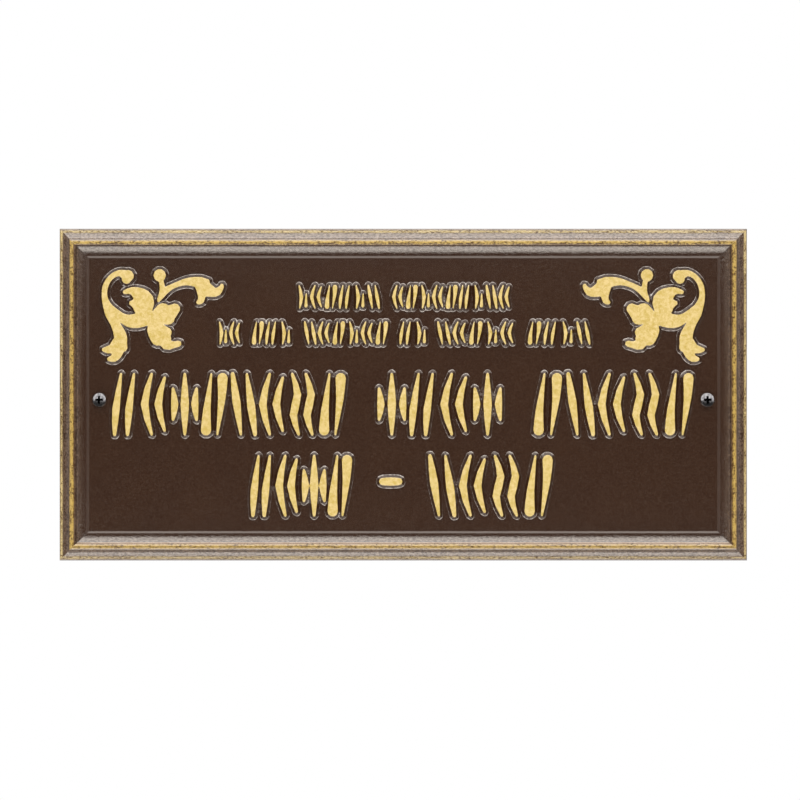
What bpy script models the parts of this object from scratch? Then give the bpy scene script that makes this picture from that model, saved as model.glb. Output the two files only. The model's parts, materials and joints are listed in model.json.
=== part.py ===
"""Wall plaque: one casting with a moulded frame, corner flourishes and rows of raised strokes, and the
two pan-head screws that hold it to the wall.

Metres, +Z up. The origin is the centre of the flat back, which lies against the wall in the plane y = 0.
The front faces -Y, and +X is to the right as it is looked at.
"""

import math

import bmesh
import bpy
from mathutils import Vector

# Driving sizes, in metres
WIDTH = 0.4064
HEIGHT = 0.1962
FIELD_THICKNESS = 0.0044
RELIEF_HEIGHT = 0.0020
RELIEF_ROOT = 0.0010
CAP_STEP = 0.0009
SPINE_STEPS = 2

# Frame members, from the side in to the field, with their heights above the back
SIDE_BAND_HEIGHT = 0.0010
SIDE_DRAFT = 0.0001
LIP_WIDTH = 0.00225
LIP_HEIGHT = 0.0049
LIP_EDGE_RADIUS = 0.0009
OUTER_COVE_WIDTH = 0.0039
OUTER_COVE_RISE = 0.0023
OUTER_COVE_BOW = 0.0006
BEAD_RADIUS = 0.00205
BEAD_CENTRE_HEIGHT = 0.00745
BEAD_FOOT_ANGLE = 10
QUIRK_WIDTH = 0.0001
INNER_COVE_WIDTH = 0.00465
INNER_COVE_DROP = 0.0021
INNER_COVE_BOW = 0.00045
FLAT_WIDTH = 0.0009
FLAT_RISE = 0.0005
STEP_WIDTH = 0.0016
STEP_BOW = 0.00004

COVE_OUTER = SIDE_DRAFT + LIP_WIDTH
BEAD_CENTRE = COVE_OUTER + OUTER_COVE_WIDTH + BEAD_RADIUS
INNER_COVE_OUTER = BEAD_CENTRE + BEAD_RADIUS + QUIRK_WIDTH
FLAT_OUTER = INNER_COVE_OUTER + INNER_COVE_WIDTH
STEP_OUTER = FLAT_OUTER + FLAT_WIDTH
FRAME_WIDTH = STEP_OUTER + STEP_WIDTH
FLAT_HEIGHT = FIELD_THICKNESS + FLAT_RISE

# Facets across each curved member
LIP_EDGE_FACETS = 2
OUTER_COVE_FACETS = 5
BEAD_FACETS = 8
INNER_COVE_FACETS = 5
HALF_STEP_FACETS = 2

# Screws
SCREW_FROM_STEP = 0.0061
SCREW_DROP = 0.0030
HEAD_DIAMETER = 0.0081
HEAD_HEIGHT = 0.0027
SHANK_DIAMETER = 0.0042
SHANK_LENGTH = 0.0318
POINT_LENGTH = 0.0050
RECESS_SPAN = 0.0046
RECESS_SLOT = 0.0010
RECESS_DEPTH = 0.0018
RECESS_TAPER = 0.45
RECESS_CUTTER_ABOVE = 0.0001
HOLE_CLEARANCE = 0.0004
HOLE_CUTTER_DEPTH = FIELD_THICKNESS * 3
SEAT_GAP = 0.0003
SCREW_SIDES = 24

WELD_DISTANCE = 0.000001
AXIS_WELD_DISTANCE = 0.00001

# Flourish strokes, in millimetres: each point is the distance in from the plaque's left edge, the distance
# down from its top edge, and half the stroke's width there
MM = 0.001
FLOURISH = {
    "scroll_eye": ((39.9, 29.9, 2.8), (40.6, 28.1, 3.55)),
    "scroll": (
        (40.6, 27.9, 3.0), (37.7, 26.9, 2.4), (35.1, 26.4, 1.7), (31.8, 27.9, 1.5), (29.0, 30.8, 1.5),
        (27.3, 34.5, 1.6), (26.8, 38.3, 1.6), (27.3, 42.5, 1.9), (29.3, 47.3, 2.8), (32.3, 50.9, 3.0),
    ),
    "root": ((29.3, 47.3, 2.8), (36.4, 52.3, 2.6), (41.0, 54.5, 3.6), (46.0, 54.5, 4.3), (52.2, 52.5, 4.5)),
    "tail": (
        (28.6, 45.7, 2.6), (30.2, 50.5, 2.9), (32.4, 55.2, 2.5), (34.7, 59.5, 3.1), (36.2, 63.7, 3.75),
        (36.4, 67.1, 3.8), (37.5, 70.1, 2.9),
    ),
    "tail_left_lobe": ((34.6, 67.9, 3.6), (31.4, 70.9, 2.6), (28.6, 71.6, 2.1), (26.4, 71.6, 1.2)),
    "tail_lower_lobe": ((35.6, 70.5, 3.3), (34.0, 74.5, 2.9), (32.0, 76.7, 2.2), (29.6, 77.1, 1.3)),
    "upper_petal": (
        (50.2, 50.1, 4.6), (49.6, 45.7, 6.2), (49.7, 42.1, 6.0), (47.0, 38.9, 4.3), (42.7, 36.8, 2.1),
        (38.8, 37.6, 1.2),
    ),
    "upper_petal_lobe": ((48.2, 45.1, 5.0), (44.6, 44.3, 3.0), (42.9, 44.1, 1.6)),
    "right_petal_top": ((56.7, 52.6, 3.0), (59.0, 50.4, 3.9), (61.3, 49.0, 4.8)),
    "right_petal_lobe": ((60.2, 51.3, 5.0), (64.4, 50.3, 5.0), (68.3, 47.5, 3.15)),
    "right_petal_lower": ((58.4, 52.4, 3.6), (64.4, 52.9, 3.9)),
    "lower_petal": ((56.4, 54.2, 2.9), (56.7, 59.6, 4.7), (58.4, 64.9, 4.3)),
    "lower_petal_lobe": ((60.5, 60.9, 4.3), (63.3, 61.4, 3.2)),
    "lower_petal_tail": (
        (59.6, 62.4, 5.7), (61.9, 64.9, 4.2), (64.0, 68.4, 3.5), (67.4, 68.7, 2.0), (70.6, 68.0, 1.75),
    ),
    "bud": ((59.4, 27.6, 3.6), (59.4, 27.8, 3.6)),
    "bud_stem": ((60.0, 29.7, 1.4), (60.7, 32.9, 1.4), (61.0, 36.5, 1.6), (60.1, 39.7, 1.3)),
    "leaf": (
        (58.6, 43.0, 0.7), (60.0, 40.3, 1.6), (62.6, 37.0, 1.9), (66.4, 34.5, 1.5), (70.4, 32.8, 1.5),
        (75.0, 31.5, 2.0), (79.4, 31.4, 2.7), (84.2, 32.0, 3.2), (87.3, 31.5, 1.8),
    ),
    "leaf_heart": ((83.2, 32.7, 3.6), (85.4, 35.1, 4.4)),
    "leaf_lower_curl": ((84.8, 36.1, 4.0), (84.2, 40.5, 2.1), (83.6, 42.7, 1.9), (82.3, 43.6, 1.35)),
    "leaf_right_curl": (
        (86.7, 35.8, 4.3), (90.8, 37.5, 3.0), (93.7, 37.2, 2.3), (95.9, 34.7, 1.3), (96.1, 33.7, 1.1),
    ),
}

# The rows reach as far as this clearance lets them from the screw heads
SCREW_X = WIDTH / 2 - FRAME_WIDTH - SCREW_FROM_STEP
ROW_CLEARANCE = 0.0029
ROW_REACH = SCREW_X - HEAD_DIAMETER / 2 - ROW_CLEARANCE

# Stroke rows. In millimetres: the foot line from the plaque's middle, the tall height and half the thickest
# stroke. Then the names of the marks in turn, and each group's left and right end, as shares of the rows'
# reach, with its number of marks
SMALL_MARKS = ("reed", "crescents", "drops", "flames", "reed", "slants", "crescents", "drops")
LARGE_MARKS = ("flames", "crescents", "fleur", "drops", "slants", "crescents", "reeds", "drops", "fleur")
ROWS = (
    (50.9, 13.6, 0.95, SMALL_MARKS, ((-0.369, -0.077, 6), (-0.039, 0.370, 9))),
    (
        29.8, 13.2, 0.95, SMALL_MARKS,
        ((-0.640, -0.553, 2), (-0.521, -0.380, 3), (-0.343, -0.049, 6), (-0.016, 0.085, 2), (0.112, 0.384, 5),
         (0.421, 0.644, 4)),
    ),
    (-23.6, 35.9, 2.15, LARGE_MARKS, ((-1.000, -0.192, 8), (-0.094, 0.343, 4), (0.438, 1.000, 5))),
    (-71.4, 35.3, 2.15, LARGE_MARKS, ((-0.525, -0.173, 4), (0.078, 0.518, 4))),
)
# The short level stroke in the lowest row: each point is its share of the rows' reach, its height from the
# plaque's middle and half its width, in millimetres
DASH = ((-0.071, -51.3, 2.1), (-0.043, -51.3, 2.4), (-0.015, -51.3, 2.1))

# Each mark is separate strokes in a box one wide and one high: across, up, and half the width as a share
# of the row's thickest stroke
MARKS = {
    "flames": (
        ((0.12, 0.00, 0.45), (0.17, 0.42, 1.00), (0.34, 1.00, 0.30)),
        ((0.56, 0.00, 0.45), (0.61, 0.42, 1.00), (0.78, 1.00, 0.30)),
    ),
    "crescents": (
        ((0.38, 0.00, 0.35), (0.14, 0.50, 1.05), (0.38, 1.00, 0.35)),
        ((0.82, 0.06, 0.35), (0.60, 0.50, 1.05), (0.82, 0.94, 0.35)),
    ),
    "drops": (
        ((0.22, 0.07, 1.40), (0.25, 0.42, 1.00), (0.40, 1.00, 0.25)),
        ((0.78, 0.93, 1.40), (0.75, 0.58, 1.00), (0.60, 0.00, 0.25)),
    ),
    "fleur": (
        ((0.50, 0.00, 0.35), (0.50, 0.50, 1.15), (0.50, 1.00, 0.35)),
        ((0.10, 0.76, 0.35), (0.16, 0.50, 1.00), (0.10, 0.24, 0.35)),
        ((0.90, 0.76, 0.35), (0.84, 0.50, 1.00), (0.90, 0.24, 0.35)),
    ),
    "slants": (
        ((0.40, 0.00, 0.30), (0.25, 0.54, 1.10), (0.12, 1.00, 0.50)),
        ((0.88, 0.00, 0.50), (0.75, 0.46, 1.10), (0.60, 1.00, 0.30)),
    ),
    "reeds": (
        ((0.14, 1.00, 0.35), (0.32, 0.66, 1.00), (0.18, 0.32, 1.00), (0.36, 0.00, 0.35)),
        ((0.60, 1.00, 0.35), (0.78, 0.66, 1.00), (0.64, 0.32, 1.00), (0.82, 0.00, 0.35)),
    ),
    "reed": (
        ((0.26, 1.00, 0.35), (0.42, 0.50, 1.10), (0.30, 0.00, 0.35)),
        ((0.74, 0.10, 0.95), (0.76, 0.64, 0.35)),
    ),
}


def clear_scene():
    for obj in list(bpy.data.objects):
        bpy.data.objects.remove(obj, do_unlink=True)


def new_collection(name):
    collection = bpy.data.collections.new(name)
    bpy.context.scene.collection.children.link(collection)
    return collection


def paint(name, colour, roughness, metallic):
    material = bpy.data.materials.new(name)
    material.use_nodes = True
    shader = material.node_tree.nodes["Principled BSDF"]
    shader.inputs["Base Color"].default_value = (*colour, 1)
    shader.inputs["Roughness"].default_value = roughness
    shader.inputs["Metallic"].default_value = metallic
    material.diffuse_color = (*colour, 1)
    return material


def mesh_object(name, bm, material, collection):
    mesh = bpy.data.meshes.new(name)
    bm.to_mesh(mesh)
    bm.free()
    mesh.materials.append(material)
    obj = bpy.data.objects.new(name, mesh)
    collection.objects.link(obj)
    return obj


def hide_cutter(obj):
    obj.hide_render = True
    obj.display_type = "WIRE"


def boolean(obj, operation, cutter):
    modifier = obj.modifiers.new(f"{operation.lower()} {cutter.name}", "BOOLEAN")
    modifier.operation = operation
    modifier.solver = "EXACT"
    if isinstance(cutter, bpy.types.Collection):
        modifier.operand_type = "COLLECTION"
        modifier.collection = cutter
    else:
        modifier.object = cutter
    return modifier


# Frame and plate


def bowed(start, end, bow, steps):
    """The points after start, up to end, of a curve that leaves the straight line by bow halfway."""
    start = Vector(start)
    along = Vector(end) - start
    side = Vector((-along.y, along.x)).normalized()
    shares = [step / steps for step in range(1, steps + 1)]
    return [start + along * t + side * (4 * bow * t * (1 - t)) for t in shares]


def arc(centre, radius, first, last, steps):
    """Points on an arc between two angles in degrees, measured from the inward side towards the front."""
    angles = [math.radians(first + (last - first) * step / steps) for step in range(steps + 1)]
    return [Vector((centre[0] + radius * math.cos(a), centre[1] + radius * math.sin(a))) for a in angles]


def frame_section():
    """(in from the outer edge, above the back), from the side's foot to the field."""
    lip_centre = (SIDE_DRAFT + LIP_EDGE_RADIUS, LIP_HEIGHT - LIP_EDGE_RADIUS)
    cove_top = (COVE_OUTER + OUTER_COVE_WIDTH, LIP_HEIGHT + OUTER_COVE_RISE)
    bead_centre = (BEAD_CENTRE, BEAD_CENTRE_HEIGHT)
    half_down = (STEP_OUTER + STEP_WIDTH / 2, FIELD_THICKNESS + FLAT_RISE / 2)
    section = [Vector((0, SIDE_BAND_HEIGHT))]
    section += arc(lip_centre, LIP_EDGE_RADIUS, 180, 90, LIP_EDGE_FACETS)
    section.append(Vector((COVE_OUTER, LIP_HEIGHT)))
    section += bowed(section[-1], cove_top, -OUTER_COVE_BOW, OUTER_COVE_FACETS)
    section += arc(bead_centre, BEAD_RADIUS, 180 - BEAD_FOOT_ANGLE, BEAD_FOOT_ANGLE, BEAD_FACETS)
    section.append(Vector((INNER_COVE_OUTER, FLAT_HEIGHT + INNER_COVE_DROP)))
    section += bowed(section[-1], (FLAT_OUTER, FLAT_HEIGHT), -INNER_COVE_BOW, INNER_COVE_FACETS)
    section.append(Vector((STEP_OUTER, FLAT_HEIGHT)))
    section += bowed(section[-1], half_down, STEP_BOW, HALF_STEP_FACETS)
    section += bowed(section[-1], (FRAME_WIDTH, FIELD_THICKNESS), -STEP_BOW, HALF_STEP_FACETS)
    return section


def cast_plate(material, collection):
    """A box whose front face is inset and raised once for each step of the frame's section."""
    section = frame_section()
    bm = bmesh.new()
    bmesh.ops.create_cube(bm, size=1)
    bmesh.ops.scale(bm, vec=(WIDTH, SIDE_BAND_HEIGHT, HEIGHT), verts=bm.verts)
    bmesh.ops.translate(bm, vec=(0, -SIDE_BAND_HEIGHT / 2, 0), verts=bm.verts)
    front = min(bm.faces, key=lambda face: face.calc_center_median().y)
    for before, after in zip(section, section[1:]):
        bmesh.ops.inset_region(
            bm,
            faces=[front],
            thickness=after.x - before.x,
            depth=after.y - before.y,
            use_even_offset=True,
        )
    bmesh.ops.recalc_face_normals(bm, faces=bm.faces)
    return mesh_object("plaque_casting", bm, material, collection)


# Raised work


def smooth_points(points):
    """A Catmull-Rom curve through the points."""
    points = [Vector(point) for point in points]
    ends = [points[0] * 2 - points[1]] + points + [points[-1] * 2 - points[-2]]
    curve = []
    for a, b, c, d in zip(ends, ends[1:], ends[2:], ends[3:]):
        for step in range(SPINE_STEPS):
            t = step / SPINE_STEPS
            near = (c - a) * t + (a * 2 - b * 5 + c * 4 - d) * t**2
            curve.append(b + (near + (b * 3 - a - c * 3 + d) * t**3) / 2)
    return curve + [points[-1]]


def stroke_outline(points):
    """The closed outline of a stroke: up one side, round the end, and back down the other."""
    spine = smooth_points(points)
    left, right, ends = [], [], []
    for index, point in enumerate(spine):
        before = spine[max(index - 1, 0)]
        after = spine[min(index + 1, len(spine) - 1)]
        along = (after - before).to_2d().normalized()
        side = Vector((-along.y, along.x)) * point.z
        left.append(point.to_2d() + side)
        right.append(point.to_2d() - side)
        ends.append((point.to_2d(), along))
    return left + end_cap(*ends[-1], spine[-1].z, 1) + right[::-1] + end_cap(*ends[0], spine[0].z, -1)


def end_cap(centre, along, radius, way):
    """The points of a half circle between a stroke's two sides: more on a wide end than on a thin one."""
    steps = 2 + int(radius / CAP_STEP)
    side = Vector((-along.y, along.x)) * way
    angles = [math.pi * step / steps for step in range(1, steps)]
    return [centre + (side * math.cos(a) + along * way * math.sin(a)) * radius for a in angles]


def raised(name, outline, material, collection):
    """A flat solid of this outline that stands on the field and is rooted in it."""
    curve = bpy.data.curves.new(name, "CURVE")
    curve.dimensions = "2D"
    curve.fill_mode = "BOTH"
    curve.extrude = (RELIEF_HEIGHT + RELIEF_ROOT) / 2
    spline = curve.splines.new("POLY")
    spline.points.add(len(outline) - 1)
    for point, place in zip(spline.points, outline):
        point.co = (place.x, place.y, 0, 1)
    spline.use_cyclic_u = True
    guide = bpy.data.objects.new(f"{name}_outline", curve)
    collection.objects.link(guide)
    guide.location.y = -(FIELD_THICKNESS + (RELIEF_HEIGHT - RELIEF_ROOT) / 2)
    guide.rotation_euler.x = math.radians(90)
    bpy.context.view_layer.update()
    graph = bpy.context.evaluated_depsgraph_get()
    mesh = bpy.data.meshes.new_from_object(guide.evaluated_get(graph))
    bm = bmesh.new()
    bm.from_mesh(mesh)
    bmesh.ops.remove_doubles(bm, verts=bm.verts, dist=WELD_DISTANCE)
    bmesh.ops.recalc_face_normals(bm, faces=bm.faces)
    bm.to_mesh(mesh)
    bm.free()
    mesh.materials.clear()
    mesh.materials.append(material)
    obj = bpy.data.objects.new(name, mesh)
    obj.matrix_world = guide.matrix_world
    collection.objects.link(obj)
    hide_cutter(obj)
    bpy.data.objects.remove(guide, do_unlink=True)
    return obj


def flourish_outlines():
    """(name, outline) of every stroke of the left flourish and of its mirror image on the right."""
    left, top = -WIDTH / 2, HEIGHT / 2
    for name, points in FLOURISH.items():
        placed = [(left + x * MM, top - down * MM, half * MM) for x, down, half in points]
        mirrored = [(-x, z, half) for x, z, half in placed]
        yield f"left_{name}", stroke_outline(placed)
        yield f"right_{name}", stroke_outline(mirrored)


def row_outlines():
    """(name, outline) of every stroke in the rows, mark by mark along each group."""
    for row, (foot, tall, half, names, groups) in enumerate(ROWS):
        placed = 0
        for left, right, count in groups:
            pitch = (right - left) / count
            for index in range(count):
                mark = MARKS[names[placed % len(names)]]
                for part, points in enumerate(mark):
                    sized = [
                        (
                            (left + (index + across) * pitch) * ROW_REACH,
                            (foot + up * tall) * MM,
                            share * half * MM,
                        )
                        for across, up, share in points
                    ]
                    yield f"row_{row}_mark_{placed}_{part}", stroke_outline(sized)
                placed += 1
    dash = [(share * ROW_REACH, z * MM, half * MM) for share, z, half in DASH]
    yield "row_3_dash", stroke_outline(dash)


# Screws


def screw_section():
    """(radius, height above the head's seat), from the top of the head's dome to the point."""
    radius, height = HEAD_DIAMETER / 2, HEAD_HEIGHT
    shank = SHANK_DIAMETER / 2
    return (
        (0, height),
        (radius * 0.50, height * 0.97),
        (radius * 0.80, height * 0.86),
        (radius * 0.94, height * 0.66),
        (radius, height * 0.38),
        (radius * 0.98, height * 0.08),
        (radius * 0.93, 0),
        (shank, 0),
        (shank, POINT_LENGTH - SHANK_LENGTH),
        (0, -SHANK_LENGTH),
    )


def turned(name, section, material, collection):
    bm = bmesh.new()
    verts = [bm.verts.new((radius, 0, height)) for radius, height in section]
    for a, b in zip(verts, verts[1:]):
        bm.edges.new((a, b))
    obj = mesh_object(name, bm, material, collection)
    spin = obj.modifiers.new("turned", "SCREW")
    spin.axis = "Z"
    spin.steps = SCREW_SIDES
    spin.render_steps = SCREW_SIDES
    spin.use_merge_vertices = True
    spin.merge_threshold = AXIS_WELD_DISTANCE
    spin.use_smooth_shade = True
    return obj


def recess_bar(name, turn, material, collection):
    """One arm across the driver recess, narrower at its foot."""
    bm = bmesh.new()
    bmesh.ops.create_cube(bm, size=1)
    bmesh.ops.scale(bm, vec=(RECESS_SPAN, RECESS_SLOT, RECESS_DEPTH), verts=bm.verts)
    for vert in bm.verts:
        if vert.co.z < 0:
            vert.co.x *= RECESS_TAPER
    obj = mesh_object(name, bm, material, collection)
    obj.rotation_euler.z = turn
    obj.location.z = HEAD_HEIGHT - RECESS_DEPTH / 2 + RECESS_CUTTER_ABOVE
    hide_cutter(obj)
    return obj


def wall_screw(side, x, material, collection, cutters):
    """A pan-head screw whose head stands off the field by the seat gap."""
    screw = turned(f"screw_{side}", screw_section(), material, collection)
    for arm in (0, 1):
        bar = recess_bar(f"recess_{side}_{arm}", arm * math.pi / 2, material, cutters)
        bar.parent = screw
        boolean(screw, "DIFFERENCE", bar)
    screw.location = (x, -(FIELD_THICKNESS + SEAT_GAP), -SCREW_DROP)
    screw.rotation_euler.x = math.radians(90)
    return screw


def screw_hole(side, x, material, cutters):
    bm = bmesh.new()
    radius = SHANK_DIAMETER / 2 + HOLE_CLEARANCE
    bmesh.ops.create_cone(
        bm,
        cap_ends=True,
        segments=SCREW_SIDES,
        radius1=radius,
        radius2=radius,
        depth=HOLE_CUTTER_DEPTH,
    )
    hole = mesh_object(f"hole_{side}", bm, material, cutters)
    hole.location = (x, 0, -SCREW_DROP)
    hole.rotation_euler.x = math.radians(90)
    hide_cutter(hole)
    return hole


def main():
    clear_scene()
    parts = new_collection("plaque")
    cutters = new_collection("cutters")
    relief = new_collection("raised_work")
    brown = paint("bronze_brown_paint", (0.051, 0.027, 0.018), 0.45, 0.0)
    gold = paint("gold_paint", (0.78, 0.60, 0.23), 0.40, 0.2)
    steel = paint("dark_screw_steel", (0.035, 0.033, 0.032), 0.30, 1.0)

    casting = cast_plate(brown, parts)
    for name, outline in (*flourish_outlines(), *row_outlines()):
        raised(name, outline, gold, relief)
    boolean(casting, "UNION", relief).material_mode = "TRANSFER"
    for side, x in (("left", -SCREW_X), ("right", SCREW_X)):
        boolean(casting, "DIFFERENCE", screw_hole(side, x, brown, cutters))
        wall_screw(side, x, steel, parts, cutters)


main()
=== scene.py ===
"""Looks of the wall plaque: the fine casting with its moulded frame, raised work and paint, the two wall
screws, the light and the camera. Metres, in the CAD model's frame: the front faces -Y.
"""

import json
import math

import bmesh
import bpy
import numpy as np
from mathutils import Matrix, Vector
from mathutils.geometry import delaunay_2d_cdt

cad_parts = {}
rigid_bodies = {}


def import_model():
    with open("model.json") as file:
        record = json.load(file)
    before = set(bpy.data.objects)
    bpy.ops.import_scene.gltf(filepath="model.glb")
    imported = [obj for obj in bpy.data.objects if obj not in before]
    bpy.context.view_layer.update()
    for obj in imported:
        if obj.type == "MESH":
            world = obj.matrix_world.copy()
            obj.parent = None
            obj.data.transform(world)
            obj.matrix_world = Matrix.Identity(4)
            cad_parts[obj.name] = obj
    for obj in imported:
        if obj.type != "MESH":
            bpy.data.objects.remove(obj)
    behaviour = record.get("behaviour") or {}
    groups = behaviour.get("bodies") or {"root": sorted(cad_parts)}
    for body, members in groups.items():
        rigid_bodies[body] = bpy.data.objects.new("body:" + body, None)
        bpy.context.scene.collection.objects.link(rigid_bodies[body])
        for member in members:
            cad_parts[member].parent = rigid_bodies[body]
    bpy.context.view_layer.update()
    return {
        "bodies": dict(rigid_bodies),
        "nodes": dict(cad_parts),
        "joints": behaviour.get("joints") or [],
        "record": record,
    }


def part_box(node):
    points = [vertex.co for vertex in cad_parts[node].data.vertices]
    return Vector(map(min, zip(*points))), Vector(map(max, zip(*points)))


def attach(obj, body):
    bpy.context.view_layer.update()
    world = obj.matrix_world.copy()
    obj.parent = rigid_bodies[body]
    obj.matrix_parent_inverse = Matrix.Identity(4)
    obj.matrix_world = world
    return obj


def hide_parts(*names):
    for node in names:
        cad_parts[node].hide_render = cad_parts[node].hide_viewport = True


MM = 0.001
MICRONS_IN_METRE = 1e6

# Heights of the casting above its back
FIELD_THICKNESS = 0.0044
RELIEF_HEIGHT = 0.0020
TOP_TOLERANCE = 1e-5

# Frame members, from the side in to the field
SIDE_DRAFT = 0.0001
SIDE_FOOT = 0.001
LIP_WIDTH = 0.00225
LIP_HEIGHT = 0.0049
LIP_EDGE_RADIUS = 0.0009
OUTER_COVE_WIDTH = 0.0039
OUTER_COVE_RISE = 0.0023
OUTER_COVE_BOW = 0.0006
BEAD_RADIUS = 0.00205
BEAD_CENTRE_HEIGHT = 0.00745
BEAD_FOOT_ANGLE = 4
BEAD_FULLNESS = 2.8
QUIRK_WIDTH = 0.0001
INNER_COVE_WIDTH = 0.00465
INNER_COVE_DROP = 0.0021
INNER_COVE_BOW = 0.00045
FLAT_WIDTH = 0.0009
FLAT_RISE = 0.0005
STEP_WIDTH = 0.0016
STEP_BOW = 0.00006

COVE_OUTER = SIDE_DRAFT + LIP_WIDTH
BEAD_CENTRE = COVE_OUTER + OUTER_COVE_WIDTH + BEAD_RADIUS
INNER_COVE_OUTER = BEAD_CENTRE + BEAD_RADIUS + QUIRK_WIDTH
FLAT_OUTER = INNER_COVE_OUTER + INNER_COVE_WIDTH
STEP_OUTER = FLAT_OUTER + FLAT_WIDTH
FRAME_WIDTH = STEP_OUTER + STEP_WIDTH
FLAT_HEIGHT = FIELD_THICKNESS + FLAT_RISE

# Flank of the raised work: distance in from the edge of its flat top, height and slope there
FLANK = (
    (0.00026, 0.00200, 0.0),
    (0.00000, 0.00190, 1.1),
    (-0.00024, 0.00162, 1.5),
    (-0.00065, 0.00110, 1.5),
    (-0.00108, 0.00056, 1.5),
    (-0.00140, 0.00017, 1.3),
    (-0.00166, 0.00004, 0.55),
    (-0.00195, 0.00000, 0.0),
)

# Grid of distances to the raised outlines, and the contours that are drawn from it
CELL = 0.0002
REACH = 0.0026
BLUR_CELLS = 1.3
CONTOUR_TOLERANCE = 0.000012
LONGEST_EDGE = 0.004
SAME_PLACE = 1e-9
MERGE_MM = 1e-7

# Where the bottom of a narrow gap gets points of its own
VALLEY_SLOPE = 0.55
VALLEY_FROM = -0.00008
VALLEY_STRIDE = 2

# A triangle whose middle is nearer to a hole's centre than this share of its radius is left out
HOLE_SHARE = 0.995
HOLE_SIDES = 40

# Cosine of the turn from which the frame has a sharp edge
SHARP_TURN = math.cos(math.radians(32))

# Marks that stand in place of the height above the field, on the frame and on the back
FRAME_MARK = -0.001
BACK_MARK = -0.002
MARK_TOLERANCE = 0.0001

# Screws
HEAD_DIAMETER = 0.0081
HEAD_SIDES = 64
SHANK_SIDES = 36
CENTRE_RADIUS = 0.00001
WELD = 0.000002
SEAT_GAP = 0.0003
SHANK_DIAMETER = 0.0042
CORE_DIAMETER = 0.0029
THREAD_PITCH = 0.0018
THREAD_START = 0.0065
POINT_LENGTH = 0.0050
THREAD_RIDGE = 0.22
ROWS_PER_TURN = 10
PLAIN_SHANK_SHARE = 0.97
SHANK_IN_HEAD = 0.0002
THREAD_GAP = 0.0001
TIP_SHARE = 0.04
SHARP_EDGE_ANGLE = math.radians(38)
CROWN_HEIGHT = 0.0025
CROWN_CURVE_RADIUS = 0.0140
CROWN_EDGE = 0.965
CROWN_STEPS = 12
CROWN_LEAN = (math.radians(11), math.radians(-4))
LEAN_HEIGHT = 0.0008
RIM_CURVE = ((0.985, 0.95), (0.997, 0.84), (1, 0.55), (0.985, 0.14), (0.95, 0.03), (0.90, 0))
RECESS_SPAN = 0.0050
RECESS_SLOT = 0.0014
RECESS_DEPTH = 0.0018
RECESS_TAPER = 0.75
RECESS_CUTTER_ABOVE = 0.0004
# Painted shade inside the driver recess
RECESS_SHADE_START = 0.00003
RECESS_SHADE_DEPTH = 0.0004
RECESS_SHADE_MARGIN = 0.0002
RECESS_SPREAD = (0.0, 0.4)
HOLE_CLEARANCE = 0.0004

# Colours, as read on screen from 0 to 255
BROWN_DARK = (33, 15, 5)
BROWN_PALE = (42, 23, 9)
GOLD_DEEP = (145, 121, 30)
GOLD_PALE = (170, 147, 90)
BEAD_GOLD = (150, 124, 62)
LIP_GOLD = (160, 141, 96)
# Painted shade laid over the gilding on the bottom member
GOLD_IN_PAINTED_SHADE = (80, 56, 24)
THIN_GOLD = (62, 40, 15)
DRY_GOLD = (138, 113, 90)
STEEL_DARK = (74, 73, 74)
STEEL_PALE = (106, 104, 104)
RECESS_PAINTED_SHADE = (12, 11, 11)
FLOOR_DARK = (228, 228, 228)
FLOOR_PALE = (236, 236, 236)

# Gold rubbed over the bead and the lip: how far in from the outer edge its middle is, and how far from
# there it is still whole and then gone. On the bead it lies differently from side to side, as in the photo.
GILDING_AT_LONG_SIDES = BEAD_CENTRE + 0.0003
GILDING_AT_RIGHT = BEAD_CENTRE + 0.0001
GILDING_AT_LEFT = BEAD_CENTRE - 0.0005
GILDING_RUN_OUT = (0.0009, 0.0018)
LIP_GILDING_AT_LONG_SIDES = 0.00180
LIP_GILDING_AT_SHORT_SIDES = 0.00125
LIP_GILDING_RUN_OUT = (0.0003, 0.0011)
LIP_GOLD_TO = COVE_OUTER + 0.0003

# How far the edge of this gold strays, the share of wide clouds in that, and its painted shade along the
# foot
GILDING_RAGGED = 0.0042
GILDING_CLOUDS = 0.3
PAINTED_SHADE_ON_FOOT = 0.3

# Painted shade on the bead's inner flank, and dry gold over the frame with a painted highlight of it in the
# quirk beside the bead at the foot. A pair is how far in there is none of it, and how far in it is whole.
INNER_FLANK_SHADE_START = (BEAD_CENTRE + 0.0001, BEAD_CENTRE + 0.0011)
QUIRK_START = (BEAD_CENTRE + 0.0012, BEAD_CENTRE + 0.0017)
INNER_FLANK_SHADE_END = (INNER_COVE_OUTER + 0.0003, INNER_COVE_OUTER)
QUIRK_END = (INNER_COVE_OUTER + 0.0007, INNER_COVE_OUTER + 0.0002)
HAZE_RUN_OUT = (0.0150, 0.0090)
INNER_FLANK_PAINTED_SHADE = 0.07
INNER_FLANK_SHEEN_LOSS = 0.5
QUIRK_PAINTED_HIGHLIGHT = 0.75
HAZE_DUST = 0.26

# Where the step down to the field looks different, and the heights above the field of the tops' gold and
# of the glints low on the flank: each pair is where there is none, and where it is whole
STEP_START = (STEP_OUTER - 0.0004, STEP_OUTER + 0.0002)
TOP_GOLD_START = (0.00178, 0.00190)
TOP_GOLD_WOBBLE = 0.00012
FLANK_GLINT_START = (0.00001, 0.00004)
FLANK_GLINT_END = (0.0010, 0.0006)

# The part of a noise's range over which its share goes from none to whole
NOISE_SPREAD = (0.35, 0.65)
BROWN_SPREAD = (0.30, 0.70)
TOP_SPREAD = (0.36, 0.64)
GILDING_SPREAD = (0.38, 0.55)
HAZE_SPREAD = (0.36, 0.62)
GLINT_SPREAD = (0.40, 0.58)

# Streaks along the moulding: how fine they are along the long and the short sides, as a share of across
STREAK_FINENESS = (0.48, 0.62)
END_STREAKS_APART = 3.0
LONG_STREAK_SHARE = 0.35

# Shares of the finer noise where two are mixed, and the weights of two in the bump
BROWN_SPECKLE = 0.8
TOP_SPECKLE = 0.5
BUMP_SPECKLE = 0.6
BUMP_GRAIN = 0.8

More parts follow.
